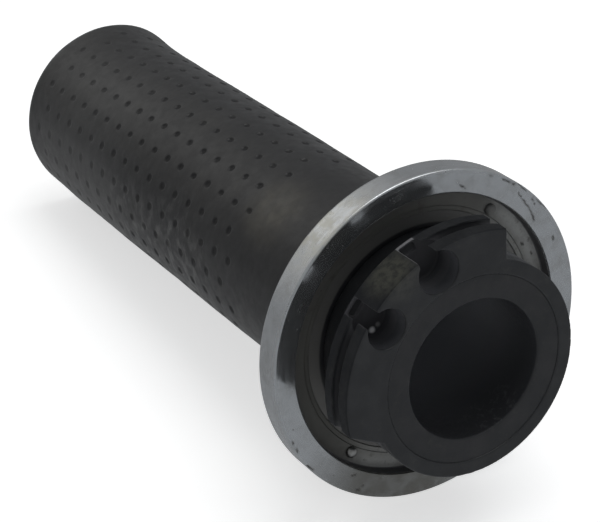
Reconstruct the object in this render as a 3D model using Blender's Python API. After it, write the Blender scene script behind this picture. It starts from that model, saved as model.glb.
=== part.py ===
"""Motorcycle throttle grip: rubber sleeve, plastic tube, two-cable drum, chrome flange and its two rivets.

The frame: +X runs along the bore's axis, from the grip's closed end to the cable drum, and +Z is up. The
origin is on the axis, halfway along the grip. Sizes below are in millimetres. "Depth" is the distance behind
the drum's front face, and an angle is measured round the axis from +Z towards +Y, in degrees.
"""

import math

import bmesh
import bpy
from mathutils import Vector

MM = 0.001

# The whole grip
TOTAL_LENGTH = 125.0
FRONT_X = TOTAL_LENGTH / 2
BORE_RADIUS = 11.25
GAP = 0.3
FINE_GAP = 0.2
ROUND_STEPS = 64
SMALL_STEPS = 16
DRUM_STEPS = 96
CUT_PAST = 1.0
CUT_FAR_PAST = 3.0
WHOLE_TURN = 360.0
SHARP_ANGLE = 35

# Throttle tube
HUB_RADIUS = 15.1
HUB_FACE_DEPTH = 0.15
SPIGOT_DEPTH = 15.1
SPIGOT_RADIUS = 19.3
BORE_CHAMFER = 0.5
TUBE_FLANGE_DEPTH = 15.9
TUBE_FLANGE_THICKNESS = 1.2
TUBE_FLANGE_RADIUS = 25.0
SLEEVE_RADIUS = 13.0
TUBE_END_DEPTH = 119.7
RIB_ANGLES = (45, 135, 225, 315)
RIB_WIDTH = 2.0
RIB_HEIGHT = 0.8
RIB_START_DEPTH = 24.0
RIB_END_DEPTH = 112.0
KEY_ANGLES = (134, 314)
KEY_WIDTH = 3.0
KEY_HEIGHT = 0.8
KEY_START_DEPTH = 8.0
KEY_END_DEPTH = 14.6

# Cable drum
DRUM_BACK_DEPTH = SPIGOT_DEPTH - FINE_GAP
COLLAR_RADIUS = 17.45
COLLAR_BACK_RADIUS = 17.1
SECTOR_RADIUS = 22.1
SECTOR_THICKNESS = 6.3
SECTOR_START_ANGLE = -104.5
SECTOR_END_ANGLE = 12.3
SECTOR_START_FOOT_ANGLE = -117.6
SECTOR_END_FOOT_ANGLE = 16.3
RIM_CHAMFER = 0.3
CABLE_RADIUS_FLOOR = 19.8
CABLE_GROOVE_DEPTH = 2.4
CABLE_GROOVE_WIDTH = 1.8
POCKET_RADIUS = 3.15
POCKET_DEPTH = 5.6
POCKET_RING_RADIUS = 18.65
POCKET_ANGLES = (-55.8, -22.1)
SLOT_ANGLES = (-55.3, -24.4)
SLOT_WIDTH = 2.8
WINDOW_INNER_RADIUS = 20.2
WINDOW_OUTER_RADIUS = 21.6
WINDOW_WIDTH = 2.4
CLEARANCE_STEP = 3.0
CLEARANCE_OUTER_STEP = 6.0
CLEARANCE_TURN = 1.0
GROOVE_STEPS = 20
GROOVE_OVERRUN = 5.0

# Chrome flange
SHEET = 0.8
FACE_DEPTH = 12.7
FLANGE_RADIUS = 26.9
FLANGE_CORNER = 0.5
RECESS_RADIUS = 23.0
RECESS_LIP = 0.3
RECESS_FLOOR_DEPTH = 14.8
RECESS_FILLET = 0.4
STEP_RADIUS = 20.4
STEP_DROP = 0.25
FLANGE_HOLE_RADIUS = SPIGOT_RADIUS + GAP
SKIRT_BACK_DEPTH = 17.7
HEM_RADIUS = 0.8
HEM_FRONT_DEPTH = 15.0
HEM_STEPS = 6
CORNER_STEPS = 3
LIP_STEPS = 2

# Flange rivets
RIVET_ANGLES = (-145.4, 34.6)
RIVET_RING_RADIUS = 21.3
RIVET_HEAD_RADIUS = 0.95
RIVET_HEAD_HEIGHT = 0.6
RIVET_SHANK_RADIUS = 0.6
RIVET_HOLE_RADIUS = 0.8
RIVET_TAIL_HEIGHT = 0.5
RIVET_SEAT_GAP = 0.1
RIVET_RELIEF_RADIUS = 1.4
DOME_STEPS = 5

# Rubber grip
RUBBER_FRONT_DEPTH = TUBE_FLANGE_DEPTH + TUBE_FLANGE_THICKNESS + GAP
RUBBER_FLANGE_RADIUS = 24.9
RUBBER_FLANGE_EDGE = 1.2
RUBBER_FLANGE_BACK_DEPTH = 19.6
NECK_FILLET = 4.0
GRIP_RADIUS_NEAR = 16.85
GRIP_RADIUS_MIDDLE = 16.7
GRIP_RADIUS_FAR = 16.5
GRIP_MIDDLE_DEPTH = 88.0
GRIP_FAR_DEPTH = 108.0
GRIP_END_ROUND = 1.4
EDGE_STEPS = 3
NECK_STEPS = 5
END_STEPS = 4

BLACK_PLASTIC = ((0.022, 0.023, 0.026), 0.35, 0.0)
BLACK_TUBE = ((0.020, 0.021, 0.023), 0.42, 0.0)
BLACK_RUBBER = ((0.032, 0.031, 0.030), 0.62, 0.0)
CHROME = ((0.62, 0.63, 0.64), 0.16, 1.0)
STEEL = ((0.46, 0.46, 0.45), 0.34, 1.0)


def clear_scene():
    """Removes whatever objects the file holds."""
    for old in list(bpy.data.objects):
        bpy.data.objects.remove(old, do_unlink=True)


def material(name, look):
    """A Principled material from (colour, roughness, metallic)."""
    colour, roughness, metallic = look
    made = bpy.data.materials.new(name)
    made.use_nodes = True
    shader = made.node_tree.nodes["Principled BSDF"]
    shader.inputs["Base Color"].default_value = (*colour, 1.0)
    shader.inputs["Roughness"].default_value = roughness
    shader.inputs["Metallic"].default_value = metallic
    return made


def place(depth, radius, angle):
    """The point at a depth behind the drum's face, a radius and an angle, in metres."""
    turn = math.radians(angle)
    across = radius * math.sin(turn)
    up = radius * math.cos(turn)
    return Vector((FRONT_X - depth, across, up)) * MM


def arc(depth, radius, bend, start, end, steps):
    """Profile points round a bend centred on (depth, radius).

    At 0 degrees the point is outwards of the centre, and at 90 it is in front of it.
    """
    points = []
    for step in range(steps + 1):
        turn = math.radians(start + (end - start) * step / steps)
        points.append((depth - bend * math.sin(turn), radius + bend * math.cos(turn)))
    return points


def finish_mesh(name, bm, look):
    """Turns a bmesh into a named object, with its faces pointing out and its round sides smooth."""
    bmesh.ops.recalc_face_normals(bm, faces=bm.faces)
    mesh = bpy.data.meshes.new(name)
    bm.to_mesh(mesh)
    bm.free()
    mesh.shade_smooth()
    mesh.set_sharp_from_angle(angle=math.radians(SHARP_ANGLE))
    made = bpy.data.objects.new(name, mesh)
    bpy.context.scene.collection.objects.link(made)
    if look:
        mesh.materials.append(material(name, look))
    return made


def turned(name, profile, look=None, steps=ROUND_STEPS, start=0.0, end=WHOLE_TURN, centre=(0.0, 0.0)):
    """A solid turned from a closed outline of (depth, radius) points.

    A full turn closes on itself, and a part turn gets two flat ends. centre is the (radius, angle) of a
    turning axis that stands off the bore's axis.
    """
    whole = abs(end - start) >= WHOLE_TURN
    count = steps if whole else steps + 1
    offset = place(FRONT_X, centre[0], centre[1])
    bm = bmesh.new()
    rings = []
    on_axis = [bm.verts.new(place(d, 0, 0) + offset) if r == 0 else None for d, r in profile]
    for step in range(count):
        angle = start + (end - start) * step / steps
        ring = []
        for (depth, radius), shared in zip(profile, on_axis):
            ring.append(shared or bm.verts.new(place(depth, radius, angle) + offset))
        rings.append(ring)
    for step in range(steps):
        here = rings[step]
        there = rings[(step + 1) % count]
        for point in range(len(profile)):
            after = (point + 1) % len(profile)
            corners = [here[point], here[after], there[after], there[point]]
            kept = list(dict.fromkeys(corners))
            if len(kept) > 2:
                bm.faces.new(kept)
    if not whole:
        bm.faces.new(rings[0])
        bm.faces.new(rings[-1])
    return finish_mesh(name, bm, look)


def prism(name, outline, front, back):
    """A solid with one outline of (radius, angle) points from a front depth to a back depth."""
    bm = bmesh.new()
    near = [bm.verts.new(place(front, radius, angle)) for radius, angle in outline]
    far = [bm.verts.new(place(back, radius, angle)) for radius, angle in outline]
    bm.faces.new(near)
    bm.faces.new(far)
    for point in range(len(outline)):
        after = (point + 1) % len(outline)
        bm.faces.new((near[point], near[after], far[after], far[point]))
    return finish_mesh(name, bm, None)


def bar(name, angle, inner, outer, width, front, back):
    """A straight-sided bar that runs outwards along an angle, from an inner to an outer radius."""
    half = width / 2
    corners = []
    for reach, side in ((inner, -half), (inner, half), (outer, half), (outer, -half)):
        corners.append((math.hypot(reach, side), angle + math.degrees(math.atan2(side, reach))))
    return prism(name, corners, front, back)


def rod(name, ring_radius, angle, radius, front, back):
    """A round bar parallel to the bore, centred at a radius and an angle."""
    outline = [(front, 0), (front, radius), (back, radius), (back, 0)]
    return turned(name, outline, steps=SMALL_STEPS, centre=(ring_radius, angle))


def combine(target, tool, operation):
    """Adds a Boolean, and keeps its tool out of the model."""
    tool.hide_render = True
    tool.display_type = "WIRE"
    step = target.modifiers.new(tool.name, "BOOLEAN")
    step.operation = operation
    step.solver = "EXACT"
    step.object = tool


def spread(radius, start, end, step):
    """Points round an arc of one radius, from one angle to another, about one step apart."""
    count = max(1, round(abs(end - start) / step))
    return [(radius, start + (end - start) * turn / count) for turn in range(count + 1)]


def throttle_tube():
    """The hard tube that turns on the handlebar, with its hub, keys, spigot, flange and ribs."""
    flange_back = TUBE_FLANGE_DEPTH + TUBE_FLANGE_THICKNESS
    profile = [
        (HUB_FACE_DEPTH + BORE_CHAMFER, BORE_RADIUS),
        (HUB_FACE_DEPTH, BORE_RADIUS + BORE_CHAMFER),
        (HUB_FACE_DEPTH, HUB_RADIUS),
        (SPIGOT_DEPTH, HUB_RADIUS),
        (SPIGOT_DEPTH, SPIGOT_RADIUS),
        (TUBE_FLANGE_DEPTH, SPIGOT_RADIUS),
        (TUBE_FLANGE_DEPTH, TUBE_FLANGE_RADIUS),
        (flange_back, TUBE_FLANGE_RADIUS),
        (flange_back, SLEEVE_RADIUS),
        (TUBE_END_DEPTH, SLEEVE_RADIUS),
        (TUBE_END_DEPTH, BORE_RADIUS),
    ]
    tube = turned("throttle_tube", profile, BLACK_TUBE)
    for number, angle in enumerate(KEY_ANGLES):
        key = bar(f"key_{number}", angle, HUB_RADIUS - CUT_PAST, HUB_RADIUS + KEY_HEIGHT, KEY_WIDTH,
                  KEY_START_DEPTH, KEY_END_DEPTH)
        combine(tube, key, "UNION")
    for number, angle in enumerate(RIB_ANGLES):
        rib = bar(f"rib_{number}", angle, SLEEVE_RADIUS - CUT_PAST, SLEEVE_RADIUS + RIB_HEIGHT, RIB_WIDTH,
                  RIB_START_DEPTH, RIB_END_DEPTH)
        combine(tube, rib, "UNION")
    for number, angle in enumerate(RIVET_ANGLES):
        hole = rod(f"tube_rivet_hole_{number}", RIVET_RING_RADIUS, angle, RIVET_HOLE_RADIUS,
                   TUBE_FLANGE_DEPTH - CUT_PAST, flange_back + CUT_PAST)
        combine(tube, hole, "DIFFERENCE")
    return tube


def drum_blank():
    """The drum turned as a full reel: a collar with a cable flange all the way round."""
    rim_back = SECTOR_THICKNESS
    profile = [
        (0, HUB_RADIUS + FINE_GAP),
        (0, SECTOR_RADIUS - RIM_CHAMFER),
        (RIM_CHAMFER, SECTOR_RADIUS),
        (rim_back - RIM_CHAMFER, SECTOR_RADIUS),
        (rim_back, SECTOR_RADIUS - RIM_CHAMFER),
        (rim_back, COLLAR_BACK_RADIUS),
        (DRUM_BACK_DEPTH, COLLAR_BACK_RADIUS),
        (DRUM_BACK_DEPTH, HUB_RADIUS + FINE_GAP),
    ]
    return turned("cable_drum", profile, BLACK_PLASTIC, steps=DRUM_STEPS)


def sector_clearance():
    """What stands outside the collar, all the way round but for the sector that carries the cables."""
    past = SECTOR_RADIUS + CUT_FAR_PAST
    start = SECTOR_START_ANGLE + WHOLE_TURN
    foot = SECTOR_START_FOOT_ANGLE + WHOLE_TURN
    outline = spread(COLLAR_RADIUS, SECTOR_END_FOOT_ANGLE, foot, CLEARANCE_STEP)
    outline.append((SECTOR_RADIUS, start))
    outline += spread(past, start - CLEARANCE_TURN, SECTOR_END_ANGLE + CLEARANCE_TURN, CLEARANCE_OUTER_STEP)
    outline.append((SECTOR_RADIUS, SECTOR_END_ANGLE))
    return prism("sector_clearance", outline, -CUT_PAST, SECTOR_THICKNESS + GAP)


def cable_drum():
    """The drum: a sector on a collar, with two pockets, their slots, a cable groove each side, and keyways.

    Each slot also has a window through the sector's back, with a thin bridge left along the rim.
    """
    drum = drum_blank()
    past = SECTOR_RADIUS + CUT_FAR_PAST
    cutters = [sector_clearance()]
    for number, angle in enumerate(POCKET_ANGLES):
        pocket = rod(f"pocket_{number}", POCKET_RING_RADIUS, angle, POCKET_RADIUS, -CUT_PAST, POCKET_DEPTH)
        cutters.append(pocket)
    for number, angle in enumerate(SLOT_ANGLES):
        slot = bar(f"slot_{number}", angle, POCKET_RING_RADIUS, past, SLOT_WIDTH, -CUT_PAST, POCKET_DEPTH)
        window = bar(f"slot_window_{number}", angle, WINDOW_INNER_RADIUS, WINDOW_OUTER_RADIUS, WINDOW_WIDTH,
                     POCKET_DEPTH - CUT_PAST, SECTOR_THICKNESS + CUT_PAST)
        cutters += [slot, window]
    groove_back = CABLE_GROOVE_DEPTH + CABLE_GROOVE_WIDTH
    groove = [
        (CABLE_GROOVE_DEPTH, CABLE_RADIUS_FLOOR),
        (CABLE_GROOVE_DEPTH, past),
        (groove_back, past),
        (groove_back, CABLE_RADIUS_FLOOR),
    ]
    before = SECTOR_START_FOOT_ANGLE - GROOVE_OVERRUN
    beyond = SECTOR_END_FOOT_ANGLE + GROOVE_OVERRUN
    cutters.append(turned("lower_groove", groove, steps=GROOVE_STEPS, start=before, end=SLOT_ANGLES[0]))
    cutters.append(turned("upper_groove", groove, steps=GROOVE_STEPS, start=SLOT_ANGLES[1], end=beyond))
    for number, angle in enumerate(KEY_ANGLES):
        keyway = bar(f"keyway_{number}", angle, HUB_RADIUS - CUT_PAST, HUB_RADIUS + KEY_HEIGHT + FINE_GAP,
                     KEY_WIDTH + 2 * FINE_GAP, KEY_START_DEPTH - GAP, DRUM_BACK_DEPTH + CUT_PAST)
        cutters.append(keyway)
    for cutter in cutters:
        combine(drum, cutter, "DIFFERENCE")
    return drum


def chrome_flange():
    """The pressed cup: a hemmed skirt, a flat rim, and a recess with a stepped hole for the spigot."""
    hem_depth = SKIRT_BACK_DEPTH - HEM_RADIUS
    hem_centre = FLANGE_RADIUS - HEM_RADIUS
    sheet_back = FACE_DEPTH + SHEET
    floor_back = RECESS_FLOOR_DEPTH + SHEET
    step_depth = RECESS_FLOOR_DEPTH + STEP_DROP
    corner = FLANGE_CORNER
    lip = RECESS_LIP
    fillet = RECESS_FILLET
    outside = arc(hem_depth, hem_centre, HEM_RADIUS, -180, 0, HEM_STEPS)
    outside += arc(FACE_DEPTH + corner, FLANGE_RADIUS - corner, corner, 0, 90, CORNER_STEPS)
    outside += arc(FACE_DEPTH + lip, RECESS_RADIUS + lip, lip, 90, 180, LIP_STEPS)
    outside += arc(RECESS_FLOOR_DEPTH - fillet, RECESS_RADIUS - fillet, fillet, 0, -90, LIP_STEPS)
    outside += [(RECESS_FLOOR_DEPTH, STEP_RADIUS), (step_depth, STEP_RADIUS - STEP_DROP)]
    outside += [(step_depth, FLANGE_HOLE_RADIUS)]
    inside = [
        (floor_back, FLANGE_HOLE_RADIUS),
        (floor_back, RECESS_RADIUS + SHEET),
        (sheet_back, RECESS_RADIUS + SHEET),
        (sheet_back, FLANGE_RADIUS - SHEET),
        (HEM_FRONT_DEPTH, FLANGE_RADIUS - SHEET),
        (HEM_FRONT_DEPTH, FLANGE_RADIUS - 2 * HEM_RADIUS),
    ]
    cup = turned("chrome_flange", outside + inside, CHROME)
    for number, angle in enumerate(RIVET_ANGLES):
        hole = rod(f"flange_rivet_hole_{number}", RIVET_RING_RADIUS, angle, RIVET_HOLE_RADIUS,
                   FACE_DEPTH, floor_back + CUT_PAST)
        combine(cup, hole, "DIFFERENCE")
    return cup


def flange_rivet(number, angle):
    """A rivet with a domed head on the recess floor and a flat tail behind the tube's flange."""
    seat = RECESS_FLOOR_DEPTH - RIVET_SEAT_GAP
    tail = TUBE_FLANGE_DEPTH + TUBE_FLANGE_THICKNESS + RIVET_SEAT_GAP
    dome = []
    for step in range(DOME_STEPS):
        turn = math.radians(90 * step / DOME_STEPS)
        dome.append((seat - RIVET_HEAD_HEIGHT * math.cos(turn), RIVET_HEAD_RADIUS * math.sin(turn)))
    body = [
        (seat, RIVET_HEAD_RADIUS),
        (seat, RIVET_SHANK_RADIUS),
        (tail, RIVET_SHANK_RADIUS),
        (tail, RIVET_HEAD_RADIUS),
        (tail + RIVET_TAIL_HEIGHT, RIVET_HEAD_RADIUS),
        (tail + RIVET_TAIL_HEIGHT, 0),
    ]
    centre = (RIVET_RING_RADIUS, angle)
    return turned(f"flange_rivet_{number}", dome + body, STEEL, steps=SMALL_STEPS, centre=centre)


def rubber_grip():
    """The sleeve, with its flange against the tube's flange, a slight taper and a closed outer end."""
    inner = SLEEVE_RADIUS + GAP
    edge = RUBBER_FLANGE_EDGE
    neck = NECK_FILLET
    end = GRIP_END_ROUND
    profile = [(RUBBER_FRONT_DEPTH, inner), (RUBBER_FRONT_DEPTH, RUBBER_FLANGE_RADIUS)]
    profile += arc(RUBBER_FLANGE_BACK_DEPTH - edge, RUBBER_FLANGE_RADIUS - edge, edge, 0, -90, EDGE_STEPS)
    profile += arc(RUBBER_FLANGE_BACK_DEPTH + neck, GRIP_RADIUS_NEAR + neck, neck, 90, 180, NECK_STEPS)
    profile += [(GRIP_MIDDLE_DEPTH, GRIP_RADIUS_MIDDLE), (GRIP_FAR_DEPTH, GRIP_RADIUS_FAR)]
    profile += arc(TOTAL_LENGTH - end, GRIP_RADIUS_FAR - end, end, 0, -90, END_STEPS)
    profile += [(TOTAL_LENGTH, 0), (TUBE_END_DEPTH + GAP, 0), (TUBE_END_DEPTH + GAP, inner)]
    grip = turned("rubber_grip", profile, BLACK_RUBBER)
    for number, angle in enumerate(RIB_ANGLES):
        channel = bar(f"rib_channel_{number}", angle, SLEEVE_RADIUS - CUT_PAST,
                      SLEEVE_RADIUS + RIB_HEIGHT + GAP, RIB_WIDTH + 2 * GAP,
                      RIB_START_DEPTH - GAP, RIB_END_DEPTH + GAP)
        combine(grip, channel, "DIFFERENCE")
    for number, angle in enumerate(RIVET_ANGLES):
        relief = rod(f"rivet_relief_{number}", RIVET_RING_RADIUS, angle, RIVET_RELIEF_RADIUS,
                     RUBBER_FRONT_DEPTH - CUT_PAST, RUBBER_FRONT_DEPTH + RIVET_TAIL_HEIGHT + 2 * GAP)
        combine(grip, relief, "DIFFERENCE")
    return grip


def main():
    clear_scene()
    throttle_tube()
    cable_drum()
    chrome_flange()
    for number, angle in enumerate(RIVET_ANGLES, start=1):
        flange_rivet(number, angle)
    rubber_grip()


main()
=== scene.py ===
import math
import random

import bmesh
import bpy
from mathutils import Matrix, Vector, noise

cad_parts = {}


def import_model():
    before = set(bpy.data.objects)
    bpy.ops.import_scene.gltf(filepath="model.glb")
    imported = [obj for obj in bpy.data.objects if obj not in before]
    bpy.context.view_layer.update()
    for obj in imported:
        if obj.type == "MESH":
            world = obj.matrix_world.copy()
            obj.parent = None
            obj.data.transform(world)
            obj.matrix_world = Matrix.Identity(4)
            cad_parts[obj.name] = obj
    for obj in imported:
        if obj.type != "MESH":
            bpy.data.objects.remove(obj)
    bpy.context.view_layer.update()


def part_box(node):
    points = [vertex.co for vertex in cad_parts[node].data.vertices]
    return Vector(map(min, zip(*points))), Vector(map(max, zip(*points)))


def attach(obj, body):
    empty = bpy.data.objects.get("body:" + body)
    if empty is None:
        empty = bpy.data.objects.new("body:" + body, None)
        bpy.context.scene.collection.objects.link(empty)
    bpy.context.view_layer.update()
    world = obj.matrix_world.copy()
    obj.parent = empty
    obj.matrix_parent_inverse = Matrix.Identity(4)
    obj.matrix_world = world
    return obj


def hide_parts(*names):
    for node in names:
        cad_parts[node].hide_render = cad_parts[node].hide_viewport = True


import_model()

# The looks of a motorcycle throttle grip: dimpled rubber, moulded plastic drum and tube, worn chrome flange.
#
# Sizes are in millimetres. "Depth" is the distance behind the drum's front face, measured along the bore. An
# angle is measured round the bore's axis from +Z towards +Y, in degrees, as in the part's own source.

MM = 0.001
BODY = "root"
SHARP_ANGLE = 50.0


def reach(node, end, axis):
    """One coordinate of a CAD node's box, in millimetres. end is 0 for the lowest and 1 for the highest."""
    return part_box(node)[end][axis] / MM


# Places that come from the frame
FRONT_X = reach("cable_drum", 1, 0)
TOTAL_LENGTH = FRONT_X - reach("rubber_grip", 0, 0)
FACE_DEPTH = FRONT_X - reach("chrome_flange", 1, 0)
FLANGE_RADIUS = reach("chrome_flange", 1, 2)
SKIRT_BACK_DEPTH = FRONT_X - reach("chrome_flange", 0, 0)
HUB_FACE_DEPTH = FRONT_X - reach("throttle_tube", 1, 0)
TUBE_END_DEPTH = FRONT_X - reach("throttle_tube", 0, 0)
DRUM_BACK_DEPTH = FRONT_X - reach("cable_drum", 0, 0)
RUBBER_FRONT_DEPTH = FRONT_X - reach("rubber_grip", 1, 0)
RUBBER_FLANGE_RADIUS = reach("rubber_grip", 1, 2)
TUBE_FLANGE_RADIUS = reach("throttle_tube", 1, 2)
RIVET_HEAD_DEPTH = FRONT_X - reach("flange_rivet_1", 1, 0)
RIVET_TAIL_DEPTH = FRONT_X - reach("flange_rivet_1", 0, 0)

# Throttle tube
BORE_RADIUS = 11.25
HUB_RADIUS = 15.1
SPIGOT_DEPTH = 15.1
SPIGOT_RADIUS = 19.52
TUBE_FLANGE_DEPTH = 15.9
TUBE_FLANGE_BACK_DEPTH = 17.1
SLEEVE_RADIUS = 13.0
HUB_EDGE = 0.07
MOUTH_ROUND = 0.35
TUBE_STEPS = 192

# Cable drum
DRUM_INNER_RADIUS = 15.1
COLLAR_RADIUS = 17.45
COLLAR_BACK_RADIUS = 17.1
SECTOR_RADIUS = 22.1
SECTOR_THICKNESS = 6.3
SECTOR_START_ANGLE = -104.5
SECTOR_END_ANGLE = 12.3
SECTOR_START_FOOT_ANGLE = -117.6
SECTOR_END_FOOT_ANGLE = 16.3
RIM_CHAMFER = 0.22
CABLE_FLOOR_RADIUS = 19.8
CABLE_GROOVE_DEPTH = 2.4
CABLE_GROOVE_WIDTH = 1.8
POCKET_RADII = (3.15, 3.40)
POCKET_DEPTH = 5.6
POCKET_RING_RADIUS = 18.65
POCKET_ANGLES = (-55.8, -21.5)
POCKET_STEPS = 64
SLOT_ANGLES = (-55.3, -24.4)
SLOT_WIDTH = 2.8
WINDOW_INNER_RADIUS = 20.2
WINDOW_OUTER_RADIUS = 21.6
WINDOW_WIDTH = 2.5
DRUM_STEPS = 240
DRUM_VOXEL = 0.16
# Painted glints on the bottom of the lower pocket: radius, angle, size and grey tone
POCKET_GLINTS = ((16.50, -61.6, 0.68, 0.80), (16.0, -57.9, 0.55, 0.22))

# Chrome flange
SHEET = 0.8
FLANGE_CORNER = 0.3
RECESS_RADIUS = 23.0
RECESS_LIP = 0.3
RECESS_FLOOR_DEPTH = 14.8
RECESS_FILLET = 0.4
STEP_RADIUS = 20.4
STEP_DROP = 0.16
FLANGE_HOLE_RADIUS = 19.56
HEM_RADIUS = 0.8
HEM_FRONT_DEPTH = 15.0
CUP_STEPS = 720
CUP_STEP_LENGTH = 0.24
# Waves in the cup's face: waves per millimetre, height, and the layer of noise that they are read from
CUP_WAVES = ((0.09, 0.045, 0), (0.35, 0.012, 4))
OUT_OF_ROUND = 0.25
OUT_OF_ROUND_ANGLE = 130.0

# Rivets
RIVET_ANGLES = (-145.4, 34.6)
RIVET_RING_RADIUS = 21.3
RIVET_HEAD_RADIUS = 0.95
RIVET_SEAT_DEPTH = 14.7
RIVET_SHANK_RADIUS = 0.6
RIVET_TAIL_SEAT_DEPTH = 17.2
RIVET_STEPS = 48
RIVET_DOME_STEPS = 10

# Rubber grip
RUBBER_INNER_RADIUS = 14.1
RUBBER_FLANGE_EDGE = 1.2
RUBBER_FLANGE_BACK_DEPTH = 19.6
NECK_FILLET = 4.0
GRIP_RADIUS_NEAR = 16.85
GRIP_RADIUS_MIDDLE = 16.7
GRIP_RADIUS_FAR = 16.48
GRIP_MIDDLE_DEPTH = 86.0
GRIP_FAR_DEPTH = 110.0
GRIP_END_ROUND = 1.4
END_WALL_DEPTH = TUBE_END_DEPTH + 0.3
DIMPLE_ROWS = 24
DIMPLE_COLUMNS = 33
DIMPLE_SPACING = 4.583
DIMPLE_FIRST_DEPTH = 45.46
DIMPLE_ROW_ANGLE = -33.4
DIMPLE_TWIST = -0.0887
DIMPLE_HALF_LENGTH = 0.72
DIMPLE_HALF_WIDTH = 0.6
DIMPLE_DEPTH = 0.22
# The loops of a dimple, from its edge inwards: shares of its half width and of its depth
DIMPLE_LOOPS = ((1.34, 0.0), (1.12, 0.06), (0.94, 0.35), (0.74, 0.78), (0.45, 0.97))
DIMPLE_WORN_ANGLE = -92.0
DIMPLE_FADE_START = 75.0
CELL_STEPS = 6
# Waves in the rubber: waves per millimetre, and height
RUBBER_WAVES = ((0.055, 0.10), (0.16, 0.05))
END_BEND = 0.31
END_BEND_START = 110.0
END_BEND_ANGLE = 39.0
END_LIP = 0.63
END_LIP_START = 114.5
END_LIP_POWER = 2.8
END_DENT = 0.6
END_DENT_START = 113.5
END_DENT_LENGTH = 8.0
END_DENT_ANGLE = 73.0
SHADE_STRIP_ANGLE = -64.0

# Stage, in metres. The world is brightest in one direction, behind and above the grip
FLOOR_RADIUS = 4.0
BRIGHT_SIDE = (-0.785, -0.275, 0.556)

# Camera, from the object's origin
CAMERA_PLACE = (297.07, -166.67, 149.12)
CAMERA_HEADING = 59.73
CAMERA_PITCH = -24.65
CAMERA_LENS = 132.0
CAMERA_SENSOR = 36.0


def place(depth, radius, angle):
    """The point at a depth behind the drum's face, a radius and an angle."""
    turn = math.radians(angle)
    return Vector((FRONT_X - depth, radius * math.sin(turn), radius * math.cos(turn)))


def arc(depth, radius, bend, start, end, steps):
    """Profile points round a bend centred on (depth, radius).

    At 0 degrees the point is outwards of the centre, and at 90 it is in front of it.
    """
    points = []
    for step in range(steps + 1):
        turn = math.radians(start + (end - start) * step / steps)
        points.append((depth - bend * math.sin(turn), radius + bend * math.cos(turn)))
    return points


def split(start, end, longest):
    """Profile points from start to end, no further apart than longest. The end itself is left out."""
    count = max(1, math.ceil(math.dist(start, end) / longest))
    points = []
    for step in range(count):
        share = step / count
        points.append((start[0] + (end[0] - start[0]) * share, start[1] + (end[1] - start[1]) * share))
    return points


def fine(profile, longest):
    """The same closed outline with its long straight stretches divided."""
    points = []
    for number, start in enumerate(profile):
        points += split(start, profile[(number + 1) % len(profile)], longest)
    return points


def smooth(value, low, high):
    """0 below low, 1 above high, and an even curve between."""
    share = min(1.0, max(0.0, (value - low) / (high - low)))
    return share * share * (3 - 2 * share)


def finish_piece(name, bm, material, nodes):
    """Turns a bmesh in millimetres into a piece that stands for CAD nodes and rides on their body."""
    bmesh.ops.recalc_face_normals(bm, faces=bm.faces)
    mesh = bpy.data.meshes.new(name)
    bm.to_mesh(mesh)
    bm.free()
    return finish_mesh(name, mesh, material, nodes)


def finish_mesh(name, mesh, material, nodes):
    """The same from a mesh in millimetres."""
    mesh.transform(Matrix.Scale(MM, 4))
    mesh.materials.clear()
    mesh.materials.append(material)
    mesh.shade_smooth()
    mesh.set_sharp_from_angle(angle=math.radians(SHARP_ANGLE))
    piece = bpy.data.objects.new(name, mesh)
    bpy.context.scene.collection.objects.link(piece)
    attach(piece, BODY)
    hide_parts(*nodes)
    return piece


def even_normals(piece):
    """Keeps wide flat faces flat where they run into small rounded edges."""
    weighted = piece.modifiers.new("even_normals", "WEIGHTED_NORMAL")
    weighted.keep_sharp = True
    weighted.weight = 60


def turned(profile, steps, centre=(0.0, 0.0), start=0.0, end=360.0):
    """A bmesh turned from a closed outline of (depth, radius) points, in millimetres.

    centre is the (radius, angle) of a turning axis that stands off the bore's axis.
    """
    whole = abs(end - start) >= 360.0
    offset = place(FRONT_X, centre[0], centre[1])
    bm = bmesh.new()
    on_axis = [bm.verts.new(place(d, 0, 0) + offset) if r == 0 else None for d, r in profile]
    rings = []
    for step in range(steps if whole else steps + 1):
        angle = start + (end - start) * step / steps
        ring = []
        for (depth, radius), shared in zip(profile, on_axis):
            ring.append(shared or bm.verts.new(place(depth, radius, angle) + offset))
        rings.append(ring)
    for step in range(steps):
        here = rings[step]
        there = rings[(step + 1) % len(rings)]
        for point in range(len(profile)):
            after = (point + 1) % len(profile)
            corners = [here[point], here[after], there[after], there[point]]
            kept = list(dict.fromkeys(corners))
            if len(kept) > 2:
                bm.faces.new(kept)
    if not whole:
        bm.faces.new(rings[0])
        bm.faces.new(rings[-1])
    return bm


# ---------------- node helpers


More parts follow.
